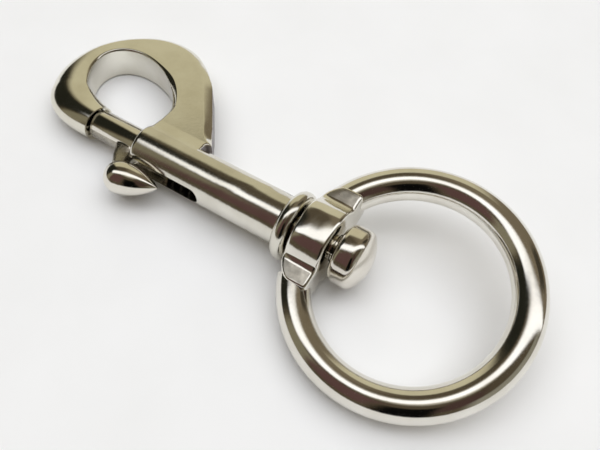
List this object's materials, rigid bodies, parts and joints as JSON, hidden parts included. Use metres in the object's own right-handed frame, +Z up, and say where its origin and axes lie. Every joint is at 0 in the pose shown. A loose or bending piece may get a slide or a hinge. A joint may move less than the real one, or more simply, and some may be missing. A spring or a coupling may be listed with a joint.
{
  "type": "swivel snap hook",
  "caption": "Bolt snap hook with an egg-shaped eye, a spring bolt slid by a teardrop thumb knob, and a swivelling round ring, in polished nickel-plated metal.",
  "frame": {"origin": "on the surface the hook lies on, under the middle of its outline box", "axes": "+X from the hook's nose towards the ring, +Y from the thumb knob's side towards the bow's side, +Z up from the surface"},
  "size_m": [0.0822, 0.0364, 0.0117],
  "materials": {
    "hook_metal": "polished nickel plating on a cast body",
    "bolt_metal": "polished plated rod with a rough-cast neck",
    "spring_wire": "drawn spring wire",
    "ring_metal": "polished nickel plating, ground flat on the ears",
    "rivet_metal": "polished plated rivet with a softly domed head"
  },
  "bodies": {
    "hook": {"hook_body": "hook_metal", "swivel_rivet": "rivet_metal", "spring": "spring_wire"},
    "bolt": {"bolt": "bolt_metal"},
    "ring": {"ring": "ring_metal"}
  },
  "joints": [
    {"name": "bolt_slide", "type": "slide", "parent": "hook", "child": "bolt", "axis": [0.9987, 0, 0.0509], "range_m": [0, 0.012], "stiffness_N_per_m": 180, "springref_m": -0.004, "deforming": ["spring"]},
    {"name": "ring_swivel", "type": "hinge", "parent": "hook", "child": "ring", "pos_m": [0.00888, -0.00113, 0.00534], "axis": [0.9987, 0, 0.0509], "continuous": true}
  ]
}
